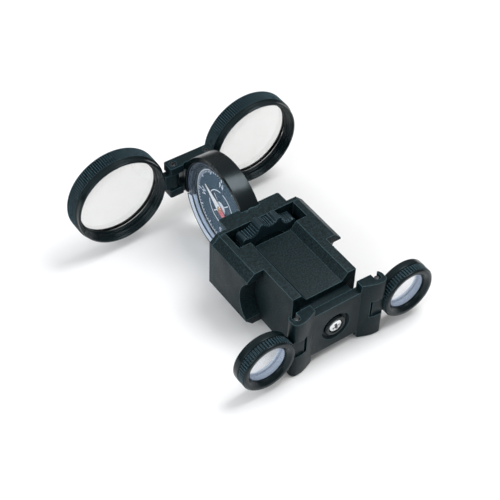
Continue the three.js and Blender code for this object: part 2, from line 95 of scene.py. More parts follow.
class Nodes:
    """A material and short ways to add nodes to it."""

    def __init__(self, name):
        self.material = bpy.data.materials.new(name)
        self.material.use_nodes = True
        self.tree = self.material.node_tree
        self.shader = self.tree.nodes["Principled BSDF"]
        self.coords = self.tree.nodes.new("ShaderNodeTexCoord")

    def link(self, source, target):
        self.tree.links.new(source, target)

    def set(self, **values):
        for key, value in values.items():
            self.shader.inputs[key.replace("_", " ")].default_value = value

    def noise(self, size_mm, detail=3.0, roughness=0.55):
        mapping = self.tree.nodes.new("ShaderNodeMapping")
        mapping.inputs["Scale"].default_value = [1000 / size_mm] * 3
        node = self.tree.nodes.new("ShaderNodeTexNoise")
        node.inputs["Scale"].default_value = 1.0
        node.inputs["Detail"].default_value = detail
        node.inputs["Roughness"].default_value = roughness
        self.link(self.coords.outputs["Object"], mapping.inputs["Vector"])
        self.link(mapping.outputs["Vector"], node.inputs["Vector"])
        return node.outputs["Fac"]

    def ramp(self, source, low, high, start, end):
        """Maps the range low to high onto start to end."""
        node = self.tree.nodes.new("ShaderNodeMapRange")
        node.inputs["From Min"].default_value = low
        node.inputs["From Max"].default_value = high
        node.inputs["To Min"].default_value = start
        node.inputs["To Max"].default_value = end
        self.link(source, node.inputs["Value"])
        return node.outputs["Result"]

    def colours(self, source, stops):
        node = self.tree.nodes.new("ShaderNodeValToRGB")
        ramp = node.color_ramp
        while len(ramp.elements) < len(stops):
            ramp.elements.new(0.5)
        for element, (position, colour) in zip(ramp.elements, stops):
            element.position = position
            element.color = (*colour, 1)
        self.link(source, node.inputs["Fac"])
        return node.outputs["Color"]

    def bump(self, source, strength, distance_mm, under=None):
        node = self.tree.nodes.new("ShaderNodeBump")
        node.inputs["Strength"].default_value = strength
        node.inputs["Distance"].default_value = distance_mm * 0.001
        self.link(source, node.inputs["Height"])
        if under is not None:
            self.link(under, node.inputs["Normal"])
        return node.outputs["Normal"]

    def rounded(self, radius_mm):
        node = self.tree.nodes.new("ShaderNodeBevel")
        node.samples = 6
        node.inputs["Radius"].default_value = radius_mm * 0.001
        return node.outputs["Normal"]

    def edge(self, soft_normal):
        """One where a sharp edge has been softened, zero on the flats."""
        flat = self.tree.nodes.new("ShaderNodeNewGeometry")
        dot = self.tree.nodes.new("ShaderNodeVectorMath")
        dot.operation = "DOT_PRODUCT"
        self.link(soft_normal, dot.inputs[0])
        self.link(flat.outputs["Normal"], dot.inputs[1])
        return self.ramp(dot.outputs["Value"], 0.998, 0.93, 0.0, 1.0)

    def mixed(self, factor, colour, other):
        """A linked colour fading to a constant one as the factor goes to one."""
        node = self.tree.nodes.new("ShaderNodeMix")
        node.data_type = "RGBA"
        self.link(factor, node.inputs[0])
        self.link(colour, node.inputs[6])
        node.inputs[7].default_value = (*other, 1)
        return node.outputs[2]

    def crease(self, reach_mm):
        """One in the open, falling towards zero deep in a corner."""
        node = self.tree.nodes.new("ShaderNodeAmbientOcclusion")
        node.samples = 6
        node.only_local = True
        node.inputs["Distance"].default_value = reach_mm * 0.001
        return node.outputs["AO"]

    def times(self, source, other):
        node = self.tree.nodes.new("ShaderNodeMath")
        node.operation = "MULTIPLY"
        self.link(source, node.inputs[0])
        self.link(other, node.inputs[1])
        return node.outputs["Value"]


def moulded(name, base, rough, grain_mm, grain_strength, specular, edge_mm, speckle, crease_mm):
    """Black plastic: speckled grain, uneven sheen, a painted highlight on soft edges and painted shade in
    the creases.
    """
    m = Nodes(name)
    fine = m.noise(grain_mm, 2)
    dots = m.noise(grain_mm * 1.4, 2, 0.7)
    light = [c * (1 + speckle) for c in base]
    dark = [c * (1 - speckle) for c in base]
    speckled = m.colours(dots, [(0.36, dark), (0.5, base), (0.66, light)])
    soft = m.rounded(edge_mm)
    # Painted shade: an occlusion mask that falls towards zero in creases and corners
    open_air = m.ramp(m.crease(crease_mm), 0.45, 0.95, 0.0, 1.0)
    # Painted highlight: softened edges get a much lighter colour, held back in creases
    painted_edge_highlight = m.times(m.edge(m.rounded(edge_mm * 2.2)), open_air)
    edged = m.mixed(painted_edge_highlight, speckled, [min(1, c * 9 + 0.03) for c in base])
    # Painted shade: deep in creases the colour falls to a tenth of the base
    shaded = m.mixed(m.ramp(open_air, 0.0, 1.0, 0.9, 0.0), edged, [c * 0.1 for c in base])
    m.link(shaded, m.shader.inputs["Base Color"])
    m.link(m.ramp(m.noise(7, 5), 0.3, 0.7, rough - 0.06, rough + 0.08), m.shader.inputs["Roughness"])
    m.link(m.bump(fine, grain_strength, 0.05, soft), m.shader.inputs["Normal"])
    m.set(Specular_IOR_Level=specular, Specular_Tint=(0.78, 0.93, 1.0, 1))
    return m.material


def metal(name, base, rough):
    m = Nodes(name)
    m.set(Metallic=1.0)
    scratches = m.noise(0.35, 4)
    tint = m.colours(m.noise(2.0, 3), [(0.3, [c * 0.86 for c in base]), (0.7, base)])
    m.link(tint, m.shader.inputs["Base Color"])
    m.link(m.ramp(scratches, 0.3, 0.7, rough * 0.7, rough * 1.4), m.shader.inputs["Roughness"])
    m.link(m.bump(scratches, 0.15, 0.02), m.shader.inputs["Normal"])
    return m.material


def thin_clear(name, tint, rough, alpha):
    """Clear plastic that lets the light straight through to what is behind it."""
    m = Nodes(name)
    haze = m.noise(4.0, 4)
    clouded = m.colours(haze, [(0.3, [c * 0.93 for c in tint]), (0.7, tint)])
    m.link(clouded, m.shader.inputs["Base Color"])
    m.link(m.ramp(haze, 0.35, 0.7, rough, rough + 0.05), m.shader.inputs["Roughness"])
    m.set(Alpha=alpha, Specular_IOR_Level=0.6)
    return m.material


def solid_clear(name, tint, ior):
    """Glass that bends what is seen through it, with a trace of dust."""
    m = Nodes(name)
    dust = m.noise(3.0, 5)
    m.link(m.ramp(dust, 0.35, 0.75, 0.0, 0.05), m.shader.inputs["Roughness"])
    dusty = m.colours(dust, [(0.3, tint), (0.8, [min(1, c * 1.04) for c in tint])])
    m.link(dusty, m.shader.inputs["Base Color"])
    m.set(IOR=ior, Transmission_Weight=1.0)
    return m.material


def printed(name, base, rough, specular=0.5):
    """Paint or ground glass: uneven tone on a faintly rough surface."""
    m = Nodes(name)
    m.set(Specular_IOR_Level=specular)
    uneven = m.colours(m.noise(0.8, 4), [(0.3, [c * 0.88 for c in base]), (0.7, base)])
    m.link(uneven, m.shader.inputs["Base Color"])
    m.link(m.bump(m.noise(0.2, 2), 0.1, 0.02), m.shader.inputs["Normal"])
    m.link(m.ramp(m.noise(2, 3), 0.3, 0.7, rough - 0.05, rough + 0.05), m.shader.inputs["Roughness"])
    return m.material


# name, base colour, roughness, grain size (mm), grain strength, specular level,
# edge radius (mm, also the reach of the painted edge highlight), speckle, reach of the painted crease shade
# (mm)
GRAINED = moulded("black_grained_plastic", (0.0044, 0.0112, 0.0135), 0.48, 0.4, 1.0, 0.2, 0.13, 1.0, 1.6)
SATIN = moulded("black_satin_plastic", (0.0034, 0.0100, 0.0125), 0.36, 0.4, 0.2, 0.15, 0.13, 0.4, 1.6)
GLOSSY = moulded("black_gloss_plastic", (0.0008, 0.0030, 0.0036), 0.22, 0.6, 0.04, 0.28, 0.1, 0.1, 1.6)
RING = moulded("black_ring_plastic", (0.0022, 0.0062, 0.0076), 0.22, 0.5, 0.05, 0.28, 0.05, 0.15, 0.9)
# A lighter base than the ring plastic and a short crease reach: rib crests carry a painted highlight and
# the grooves painted shade
RIBBED = moulded("black_ribbed_plastic", (0.0085, 0.0190, 0.0240), 0.28, 0.5, 0.05, 0.30, 0.07, 0.15, 0.4)
STEEL = metal("plated_steel", (0.82, 0.83, 0.84), 0.16)
BLACK_STEEL = metal("blackened_steel", (0.07, 0.075, 0.08), 0.35)
BRASS = metal("turned_brass", (0.75, 0.55, 0.26), 0.25)
# The cup's dark tint is painted shade from the hood over its upper part
ACRYLIC = thin_clear("clear_acrylic_painted_shade", (0.14, 0.19, 0.28), 0.06, 0.4)
PALE_ACRYLIC = thin_clear("pale_acrylic", (0.64, 0.73, 0.86), 0.1, 0.92)
SMOKED = thin_clear("smoked_rim", (0.03, 0.04, 0.05), 0.1, 0.85)
WINDOW = thin_clear("window_acrylic", (0.6, 0.78, 0.98), 0.04, 0.04)
EYE_GLASS = thin_clear("eyepiece_glass", (0.8, 0.88, 1.0), 0.03, 0.2)
LENS = solid_clear("lens_glass", (0.75, 0.75, 0.74), 1.5)
FROSTED = printed("ground_glass_edge", (0.62, 0.74, 0.92), 0.25)
DIAL = printed("dial_blue_grey", (0.028, 0.062, 0.095), 0.6, 0.12)
MARKS = printed("dial_marks", (0.85, 0.9, 1.0), 0.4)
RED = printed("needle_red", (0.62, 0.1, 0.12), 0.35)
WHITE = printed("needle_white", (0.8, 0.82, 0.85), 0.3)

# ---- shapes ---------------------------------------------------------------------------

SHARP_DEG = 32                  # faces that meet at more than this show a crisp edge
PLANES = {"XY": lambda u, v, w: (u, v, w), "YZ": lambda u, v, w: (w, u, v)}


def finish_mesh(name, bm, material, body, sharp=SHARP_DEG):
    """Turns a shape in millimetres into a piece that rides on a body."""
    mesh = bpy.data.meshes.new(name)
    bmesh.ops.recalc_face_normals(bm, faces=bm.faces)
    bm.to_mesh(mesh)
    bm.free()
    mesh.transform(PLACE)
    return show(name, mesh, material, body, sharp)


def banded(obj, material, centre, inner, low, high):
    """Gives the faces of a turned piece beyond a radius, between two Y values, a second material."""
    obj.data.materials.append(material)
    for polygon in obj.data.polygons:
        spot = BACK @ polygon.center
        radius = math.hypot(spot.x - centre[0], spot.z - centre[2])
        if radius > inner and low < spot.y < high:
            polygon.material_index = 1


def smooth(mesh, sharp=SHARP_DEG):
    """Smooth shading with crisp edges where faces meet sharply."""
    for polygon in mesh.polygons:
        polygon.use_smooth = True
    mesh.set_sharp_from_angle(angle=math.radians(sharp))


def show(name, mesh, material, body, sharp=SHARP_DEG):
    """Puts a finished mesh in the scene and ties it to its body and material slot."""
    smooth(mesh, sharp)
    mesh.materials.clear()
    mesh.materials.append(material)
    obj = bpy.data.objects.new(name, mesh)
    bpy.context.scene.collection.objects.link(obj)
    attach(obj, body)
    return obj


def softened(profile, radius, steps=4, closed=True):
    """The outline with every corner turned into a small curve."""
    count = len(profile)
    out = []
    for i, corner in enumerate(profile):
        if not closed and i in (0, count - 1):
            out.append(tuple(corner))
            continue
        here = Vector(corner)
        before = Vector(profile[i - 1])
        after = Vector(profile[(i + 1) % count])
        cut_in = min(radius, (before - here).length * 0.45)
        cut_out = min(radius, (after - here).length * 0.45)
        start = here + (before - here).normalized() * cut_in
        end = here + (after - here).normalized() * cut_out
        for k in range(steps + 1):
            t = k / steps
            out.append(tuple(start * (1 - t) ** 2 + here * 2 * t * (1 - t) + end * t * t))
    return out


def join_rings(bm, rings, closed=True):
    """Faces between sections that follow each other round an axis."""
    rows = len(rings[0])
    for i, a in enumerate(rings):
        b = rings[(i + 1) % len(rings)]
        for j in range(rows if closed else rows - 1):
            k = (j + 1) % rows
            bm.faces.new((a[j], a[k], b[k], b[j]))


def revolve(profile, centre, axis, count, relief=None, closed=True):
    """A profile of (radius, along) turned about an axis through centre. relief(radius, along,
    angle) gives the radius of a textured row."""
    bm = bmesh.new()
    rings = []
    for i in range(count):
        angle = 2 * math.pi * i / count
        ring = []
        for radius, along in profile:
            r = relief(radius, along, angle) if relief else radius
            u, v = r * math.cos(angle), r * math.sin(angle)
            point = (u, along, v) if axis == "Y" else (along, u, v)
            ring.append(bm.verts.new(Vector(point) + Vector(centre)))
        rings.append(ring)
    join_rings(bm, rings, closed)
    bmesh.ops.remove_doubles(bm, verts=bm.verts, dist=1e-4)
    return bm


def upright(profile, x, y, count):
    """A profile of (radius, height) turned about a vertical line."""
    bm = revolve(profile, (0, 0, 0), "Y", count, closed=False)
    bmesh.ops.rotate(bm, verts=bm.verts, matrix=Matrix.Rotation(math.pi / 2, 3, "X"))
    bmesh.ops.translate(bm, verts=bm.verts, vec=(x, y, 0))
    return bm


def lens_profile(edge, near_y, far_y, near_bulge, far_bulge, steps=14):
    """Half section of a lens; a positive bulge swells outward at the axis."""
    points = []
    for k in range(steps + 1):
        r = edge * k / steps
        points.append((r, near_y - near_bulge * (1 - (r / edge) ** 2)))
    for k in range(steps, -1, -1):
        r = edge * k / steps
        points.append((r, far_y + far_bulge * (1 - (r / edge) ** 2)))
    return points


def closed_wall(bm, bottom, top):
    """Both ends and the wall between two matching outlines."""
    bm.faces.new(bottom)
    bm.faces.new(top)
    for i in range(len(bottom)):
        j = (i + 1) % len(bottom)
        bm.faces.new((bottom[i], bottom[j], top[j], top[i]))


def prism(outline, low, high, bevel, plane="XY"):
    """An outline pulled straight, with every long edge rounded."""
    bm = bmesh.new()
    bottom, top = ([bm.verts.new(PLANES[plane](u, v, w)) for u, v in outline] for w in (low, high))
    closed_wall(bm, bottom, top)
    bmesh.ops.recalc_face_normals(bm, faces=bm.faces)
    if bevel:
        round_edges(bm, bevel)
    return bm


def round_edges(bm, width):
    limit = math.radians(28)
    edges = [e for e in bm.edges if len(e.link_faces) == 2 and e.calc_face_angle(0) > limit]
    bmesh.ops.bevel(bm, geom=edges, offset=width, offset_type="OFFSET", segments=3, profile=0.6,
                    affect="EDGES", clamp_overlap=True)


def arc(cu, cv, r, start, end, count):
    """Points on a circle from one angle to another, in degrees."""
    angles = [math.radians(start + (end - start) * i / count) for i in range(count + 1)]
    return [(cu + r * math.cos(a), cv + r * math.sin(a)) for a in angles]


def mirrored(outline, side):
    return [(side * u, v) for u, v in outline]


def rounded_copy(node, width, material, body):
    """A visible copy of a CAD node with its flat faces merged and its sharp edges rounded."""
    bm = bmesh.new()
    bm.from_mesh(frame["nodes"][node].data)
    bm.transform(BACK)
    bmesh.ops.remove_doubles(bm, verts=bm.verts, dist=1e-3)
    bmesh.ops.dissolve_limit(bm, angle_limit=math.radians(0.8), verts=bm.verts, edges=bm.edges)
    round_edges(bm, width)
    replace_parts(finish_mesh(node + "_shell", bm, material, body), node)


def piece(name, bm, material, body, slot, *nodes, sharp=SHARP_DEG):
    """A finished shape that stands in for the named CAD nodes, if any."""
    obj = finish_mesh(name, bm, material, body, sharp)
    if nodes:
        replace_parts(obj, *nodes)
    return obj


# ---- case -----------------------------------------------------------------------------

rounded_copy("case_body", 0.22, GRAINED, "case")
rounded_copy("end_frame", 0.16, GRAINED, "case")
for side in ("left", "right"):
    for level in ("upper", "lower"):
        rounded_copy(f"{side}_{level}_frame_screw", 0.05, BLACK_STEEL, "case")

# ---- focus drive ----------------------------------------------------------------------

WHEEL_AXIS = pivot_mm("focus_wheel_spin")
WHEEL_NEAR_Y, WHEEL_FAR_Y = -7.6, -2.6
CREST_R = 15.55
VALLEY_R = 13.7
LOBES = 12
RIBS_PER_LOBE = 8
RIB_DEPTH = 0.28
FIRST_CREST = math.radians(72)


def wheel_radius(angle):
    """Narrow crests between wide hollows, with fine ribs on all but the crests."""
    phase = (angle - FIRST_CREST) * LOBES
    lift = (0.5 + 0.5 * math.cos(phase)) ** 1.35
    below = min(1, max(0, (0.86 - lift) / 0.2))
    rib = RIB_DEPTH * (1 + math.cos(angle * LOBES * RIBS_PER_LOBE))
    return VALLEY_R + (CREST_R - VALLEY_R) * lift - below * rib


def build_wheel():
    """Lobed rim, thin dished web and a hub that reaches towards the eyepieces."""
    near, far = WHEEL_NEAR_Y, WHEEL_FAR_Y
    rim = [(near, 0.55), (near + 0.02, 0.28), (near + 0.25, 0.0), (far - 0.25, 0.0), (far - 0.02, 0.28),
           (far, 0.55)]
    web = [(far, 9.5), (far - 0.6, 9.2), (far - 0.6, 5.0), (far, 4.7), (far, 2.4), (near - 1.6, 2.4),
           (near - 1.6, 4.8), (near - 1.4, 5.0), (near + 0.6, 5.0), (near + 0.6, 9.2), (near, 9.5)]
    count = LOBES * RIBS_PER_LOBE * 12
    bm = bmesh.new()
    rings = []
    for i in range(count):
        angle = 2 * math.pi * i / count
        crest = wheel_radius(angle)
        section = [(y, crest - cut) for y, cut in rim] + web
        u, v = math.cos(angle), math.sin(angle)
        rings.append([bm.verts.new((WHEEL_AXIS.x + r * u, y, WHEEL_AXIS.z + r * v)) for y, r in section])
    join_rings(bm, rings)
    return bm


piece("focus_wheel_ribbed", build_wheel(), RIBBED, "focus_drive", "black_plastic", "focus_wheel", sharp=40)
rounded_copy("focus_screw", 0.08, STEEL, "focus_drive")
rounded_copy("screw_nut", 0.2, BRASS, "eyepiece_carriage")
rounded_copy("eyepiece_slide", 0.25, SATIN, "eyepiece_carriage")

# ---- eyepiece bridge ------------------------------------------------------------------

rounded_copy("eyepiece_bridge", 0.12, SATIN, "eyepiece_carriage")

SCREW_AXIS = middle("bridge_screw")
collar = softened([(2.75, -47.2), (4.3, -47.2), (4.4, -47.7), (3.9, -48.3), (3.0, -48.3),
                   (2.75, -48.0)], 0.25)
piece("bridge_collar_ring", revolve(collar, (0, 0, SCREW_AXIS.z), "Y", 72), GLOSSY, "eyepiece_carriage",
      "gloss_black", "bridge_collar")


def build_cross_screw():
    """A low domed head on a plain shank."""
    head = softened([(0, -48.5), (1.6, -48.45), (2.5, -48.1), (2.7, -47.7), (2.7, -47.2), (1.2, -47.2),
                     (1.2, -40.2), (0.7, -39.8), (0, -39.8)], 0.2, closed=False)
    return revolve(head, (0, 0, SCREW_AXIS.z), "Y", 64, closed=False)


def carve(obj, cutter_bm):
    """Cuts a shape, given in millimetres, out of a finished piece."""
    mesh = bpy.data.meshes.new("cutter")
    bmesh.ops.recalc_face_normals(cutter_bm, faces=cutter_bm.faces)
    cutter_bm.to_mesh(mesh)
    cutter_bm.free()
    mesh.transform(PLACE)
    cutter = bpy.data.objects.new("cutter", mesh)
    bpy.context.scene.collection.objects.link(cutter)
    modifier = obj.modifiers.new("cut", "BOOLEAN")
    modifier.operation = "DIFFERENCE"
    modifier.solver = "EXACT"
    modifier.object = cutter
    bpy.context.view_layer.update()
    made = bpy.data.meshes.new_from_object(obj.evaluated_get(bpy.context.evaluated_depsgraph_get()))
    obj.modifiers.clear()
    obj.data = made
    smooth(made)
    bpy.data.objects.remove(cutter)


CROSS_TURN = math.radians(18)   # the cross stands a little turned, as in the photo


def cross_cutter(reach, arm, near_y, deep_y):
    """The hollow of a cross-head screw: a cross that narrows with depth."""
    outline = [(arm, arm), (arm, reach), (-arm, reach), (-arm, arm), (-reach, arm), (-reach, -arm),
               (-arm, -arm), (-arm, -reach), (arm, -reach), (arm, -arm), (reach, -arm), (reach, arm)]
    bm = bmesh.new()
    levels = []
    for y, size in ((near_y, 1.15), (deep_y, 0.45)):
        ring = []
        for u, v in outline:
            u, v = u * size, v * size
            ring.append(bm.verts.new((u * math.cos(CROSS_TURN) - v * math.sin(CROSS_TURN), y,
                                      SCREW_AXIS.z + u * math.sin(CROSS_TURN) + v * math.cos(CROSS_TURN))))
        levels.append(ring)
    closed_wall(bm, *levels)
    return bm


screw = piece("bridge_cross_screw", build_cross_screw(), STEEL, "eyepiece_carriage", "steel",
              "bridge_screw")
carve(screw, cross_cutter(1.85, 0.55, -48.9, -47.4))
# A dark cross sunk in the cut: painted shade in the screw's cross recess
piece("bridge_screw_recess_shade", cross_cutter(1.7, 0.5, -48.15, -47.35), BLACK_STEEL, "eyepiece_carriage",
      "dark_steel")

# ---- eyepieces ------------------------------------------------------------------------

EYE_RIBS = 60
EYE_RIB_BAND = (-50.75, -48.05)
EYE_RIB_INNER_R = 9.9
EYE_RIB_HEIGHT = 0.4
EYE_RIB_STEEPNESS = 1.8         # over one flattens the tops and the valleys


def eyepiece_relief(radius, along, angle):
    """Coarse ribs on the near half of the rim."""
    low, high = EYE_RIB_BAND
    if radius > EYE_RIB_INNER_R + 0.05 and low < along < high:
        wave = math.cos(angle * EYE_RIBS) * EYE_RIB_STEEPNESS
        return radius + EYE_RIB_HEIGHT * min(1, max(-1, wave))
    return radius


def hinge_outline(px, py, barrel, near, far, ring_x, near_end):
    """Seen from above: a barrel round the pin and a flat arm out to the ring."""
    start = math.degrees(math.asin(min(1, far / barrel)))
    end = 360 - math.degrees(math.asin(min(1, near / barrel)))
    return [(ring_x, py + far), *arc(px, py, barrel, start, end, 22), (ring_x, py - near_end)]


def build_eyepiece(word, side):
    """Ribbed ring with its lens, lock ring, hinge leaf and pin."""
    body = f"{word}_eyepiece"
    axis = middle(f"{word}_eyepiece_lens")
    centre = (axis.x, 0, axis.z)
    profile = softened([(8.8, -44.95), (10.45, -44.95), (10.8, -45.3), (10.8, -47.75), (10.3, -47.95),
                        (10.3, -48.1), (10.3, -50.7), (10.3, -50.95), (9.95, -51.45), (8.8, -51.45),
                        (7.4, -50.3), (7.2, -49.3), (8.4, -49.3), (8.4, -45.3)], 0.22, 3)
    ribbed = revolve(profile, centre, "Y", EYE_RIBS * 6, eyepiece_relief)
    ring = piece(f"{word}_eyepiece_ring", ribbed, RING, body, "black_plastic", f"{word}_eyepiece_cell")
    banded(ring, RIBBED, centre, EYE_RIB_INNER_R, *EYE_RIB_BAND)
    pin = pivot_mm(f"{word}_eyepiece_fold")
    # Barrel round the pin behind a flat leaf that reaches from the wing's window to the ring
    px, py = abs(pin.x), pin.y
    leaf = [(14.65, py - 2.35), (21.2, py - 2.55), (21.2, py + 1.2), (px + 1.7, py + 1.2),
            *arc(px, py, 2.1, 35, 180, 16), (px - 2.1, py - 1.2), (14.65, py - 1.2)]
    outline = mirrored(leaf, side)
    hinge = prism(outline, axis.z - 3.6, axis.z + 3.6, 0.3)
    hinge_piece = piece(f"{word}_eyepiece_hinge", hinge, SATIN, body, "black_plastic")
    carve(hinge_piece, upright([(0, -6), (1.12, -6), (1.12, 6), (0, 6)], pin.x, pin.y, 32))
    glass = revolve(lens_profile(7.85, -49.1, -46.8, -0.75, -0.8), centre, "Y", 96, closed=False)
    piece(f"{word}_eyepiece_glass", glass, EYE_GLASS, body, "lens_glass", f"{word}_eyepiece_lens")
    ground = softened([(7.9, -49.1), (8.15, -49.1), (8.15, -46.75), (7.9, -46.75)], 0.05, 2)
    piece(f"{word}_eyepiece_ground_edge", revolve(ground, centre, "Y", 96), FROSTED, body, "lens_glass")
    lock = softened([(6.9, -46.6), (8.15, -46.6), (8.15, -45.6), (7.5, -45.5)], 0.15, 3)
    piece(f"{word}_eyepiece_lock_ring", revolve(lock, centre, "Y", 96), FROSTED, body, "clear_plastic",
          f"{word}_eyepiece_retainer")
    low, high = box_mm(f"{word}_eyepiece_pin")
    build_pin(f"{word}_eyepiece_rivet", pin, 1.0, low.z, high.z, "eyepiece_carriage",
              f"{word}_eyepiece_pin", 0.0)


def build_pin(name, spot, radius, low, high, body, node, bore):
    """A pin with domed ends, hollow at the top when bore is set."""
    profile = [(0, low), (radius * 0.6, low), (radius, low + 0.3), (radius, high - 0.3),
               (radius * 0.8, high)]
    if bore:
        profile += [(bore, high - 0.05), (bore * 0.9, high - 0.9), (0, high - 1.0)]
    else:
        profile += [(0, high + 0.02)]
    bm = upright(softened(profile, 0.12, 3, closed=False), spot.x, spot.y, 40)
    piece(name, bm, BLACK_STEEL, body, "dark_steel", node)


# ---- objectives -----------------------------------------------------------------------

KNURLS = 132
KNURL_BAND = (45.35, 50.6)
KNURL_DEPTH = 0.28


def knurl_relief(radius, along, angle):
    """Fine straight knurl on the far band."""
    low, high = KNURL_BAND
    if radius > 19.2 and low < along < high:
        return radius - KNURL_DEPTH * (1 - math.cos(angle * KNURLS))
    return radius


def build_objective(word, side):
    """Knurled ring with its lens, lock ring, hinge arm and pin."""
    body = f"{word}_objective"
    axis = middle(f"{word}_objective_lens")
    centre = (axis.x, 0, axis.z)
    profile = softened([(17.9, 42.8), (18.55, 42.85), (18.75, 43.15), (18.75, 44.75), (19.1, 45.0),
                        (19.4, 45.3), (19.4, 45.45), (19.4, 50.5), (19.4, 50.75), (19.1, 51.2),
                        (17.8, 51.2), (17.8, 47.2), (16.5, 47.2), (16.5, 46.6), (17.0, 46.2), (17.0, 44.9),
                        (17.35, 44.6), (17.35, 43.9), (17.8, 43.6)], 0.16, 3)
    knurled = revolve(profile, centre, "Y", KNURLS * 6, knurl_relief)
    ring = piece(f"{word}_objective_ring", knurled, RING, body, "black_plastic",
                 f"{word}_objective_cell", sharp=38)
    banded(ring, RIBBED, centre, 18.9, *KNURL_BAND)
    pin = pivot_mm(f"{word}_objective_fold")
    outline = hinge_outline(abs(pin.x), pin.y, 2.3, 1.95, 1.5, 11.7, 1.5)
    low, high = -3.3, 3.6
    hinge = prism(mirrored(outline, side), low, high, 0.25)
    hinge_piece = piece(f"{word}_objective_hinge", hinge, SATIN, body, "black_plastic")
    root = [(11.0, pin.y - 1.5), (12.0, pin.y - 1.2), (13.2, pin.y + 0.2), (13.2, pin.y + 2.4),
            (11.4, pin.y + 2.4), (10.6, pin.y + 1.4)]
    piece(f"{word}_objective_hinge_root", prism(mirrored(root, side), low + 0.1, high - 0.1, 0.25), SATIN,
          body, "black_plastic")
    carve(hinge_piece, upright([(0, -9), (1.3, -9), (1.3, 9), (0, 9)], pin.x, pin.y, 32))
    glass = revolve(lens_profile(17.5, 47.6, 49.0, 0.6, 1.4), centre, "Y", 128, closed=False)
    piece(f"{word}_objective_glass", glass, LENS, body, "lens_glass", f"{word}_objective_lens")
    lock = softened([(16.7, 49.6), (17.55, 49.3), (17.55, 50.9), (17.0, 50.9)], 0.15, 3)
    piece(f"{word}_objective_lock_ring", revolve(lock, centre, "Y", 128), GLOSSY, body, "gloss_black",
          f"{word}_objective_retainer")
    bar_low, bar_high = box_mm("objective_bridge")
    build_pin(f"{word}_objective_rivet", pin, 1.2, bar_low.z + 0.1, bar_high.z - 0.05, "case",
              f"{word}_objective_pin", 0.55)


for word, side in (("left", -1), ("right", 1)):
    build_eyepiece(word, side)
    build_objective(word, side)


def build_bar():
    """Web between two plates; each plate ends square beside its pin."""
    low, high = box_mm("objective_bridge")
    pin = pivot_mm("right_objective_fold")
    reach = pin.x + 2.6
    dip = low.y + 0.85
    plate = softened([(-reach, low.y), (-4.2, low.y), (-4.1, dip), (4.1, dip), (4.2, low.y), (reach, low.y),
                      (reach, high.y), (-reach, high.y)], 0.7)
    web = [(-3.3, low.y + 1.1), (3.3, low.y + 1.1), (3.3, high.y), (-3.3, high.y)]
    piece("objective_bar_web", prism(web, -3.95, 4.2, 0.1), SATIN, "case", "black_plastic")
    top = piece("objective_bar_top", prism(plate, 3.95, high.z, 0.18), SATIN, "case", "black_plastic",
                "objective_bridge")
    foot = piece("objective_bar_foot", prism(plate, low.z, -3.65, 0.18), SATIN, "case", "black_plastic")
    for plate_piece in (top, foot):
        for side in (-1, 1):
            hole = prism(arc(side * pin.x, pin.y, 1.45, 0, 345, 23), -9, 9, 0)
            carve(plate_piece, hole)


build_bar()

# ---- compass --------------------------------------------------------------------------

DRUM = pivot_mm("compass_needle_spin")
rounded_copy("compass_hood", 0.22, GLOSSY, "case")


def drum_disc(profile, count=144, closed=True):
    """A profile of (radius, x) turned about the axis of the drum."""
    return revolve(profile, (0, DRUM.y, DRUM.z), "X", count, closed=closed)


cup = softened([(0, 2.4), (18.2, 2.4), (18.2, -2.3), (18.6, -2.3), (18.6, -3.4), (19.2, -3.4), (19.2, 3.2),
                (0, 3.2)], 0.2, 3, closed=False)
# The cup wears the dark tint: painted shade from the hood
piece("compass_cup", drum_disc(cup, closed=False), ACRYLIC, "case", "clear_plastic", "compass_capsule")


def drum_band(name, inner, outer, x0, x1, start, end, material, slot, bevel=0.1):
    """Part of a ring round the drum, between two angles."""
    rim = arc(DRUM.y, DRUM.z, outer, start, end, 72)
    back = arc(DRUM.y, DRUM.z, inner, start, end, 72)[::-1]
    piece(name, prism(rim + back, x0, x1, bevel, "YZ"), material, "case", slot)


# Below the hood the clear capsule shows, pale and edged by its smoky rim
drum_band("compass_cup_rim", 19.25, 20.58, -3.3, 3.3, 199, 341, PALE_ACRYLIC, "clear_plastic", 0.3)
drum_band("compass_cup_lip", 20.6, 21.08, -3.35, 3.35, 199, 341, SMOKED, "clear_plastic")
drum_band("compass_cup_front", 17.2, 19.15, -3.55, -3.42, 198, 342, PALE_ACRYLIC, "clear_plastic", 0.04)
PANE_R = 18.3
pane = [(r, -3.3 - 0.25 * (1 - (r / PANE_R) ** 2)) for r in [PANE_R * k / 16 for k in range(17)]]
pane += [(PANE_R, -2.75), (0, -2.75)]
piece("compass_pane", drum_disc(pane, closed=False), WINDOW, "case", "clear_plastic", "compass_window")
plate = softened([(0, -1.2), (16.0, -1.2), (16.0, -0.5), (0, -0.5)], 0.1, 3, closed=False)
piece("compass_dial_plate", drum_disc(plate, closed=False), DIAL, "case", "dial", "compass_dial")
bezel = softened([(16.2, -1.3), (16.4, -1.8), (16.7, -1.8), (16.8, -1.5), (16.8, 0), (16.2, 0)], 0.12, 3)
piece("compass_bezel", drum_disc(bezel), GLOSSY, "case", "gloss_black", "dial_ring")
# Seat of the dial: painted shade under the hood as a dark band, pale where the capsule stands clear of it
drum_band("compass_seat_painted_shade", 16.85, 18.1, -2.6, 1.8, -17, 197, GLOSSY, "gloss_black")
drum_band("compass_seat_pale", 16.85, 18.1, -2.6, 1.8, 198, 342, FROSTED, "clear_plastic")


def on_dial(radius, angle):
    """The (y, z) place of a point on the dial."""
    return DRUM.y + radius * math.cos(angle), DRUM.z + radius * math.sin(angle)


MARK_X = (-1.26, -1.15)         # front and back of the raised marks


def flat_strip(bm, start, end, width):
    """A raised line on the dial between two points of the (y, z) plane."""
    start, end = Vector(start), Vector(end)
    across = (end - start).normalized()
    across = Vector((-across.y, across.x)) * width / 2
    corners = [start + across, start - across, end - across, end + across]
    low, high = ([bm.verts.new((x, c.x, c.y)) for c in corners] for x in MARK_X)
    closed_wall(bm, low, high)


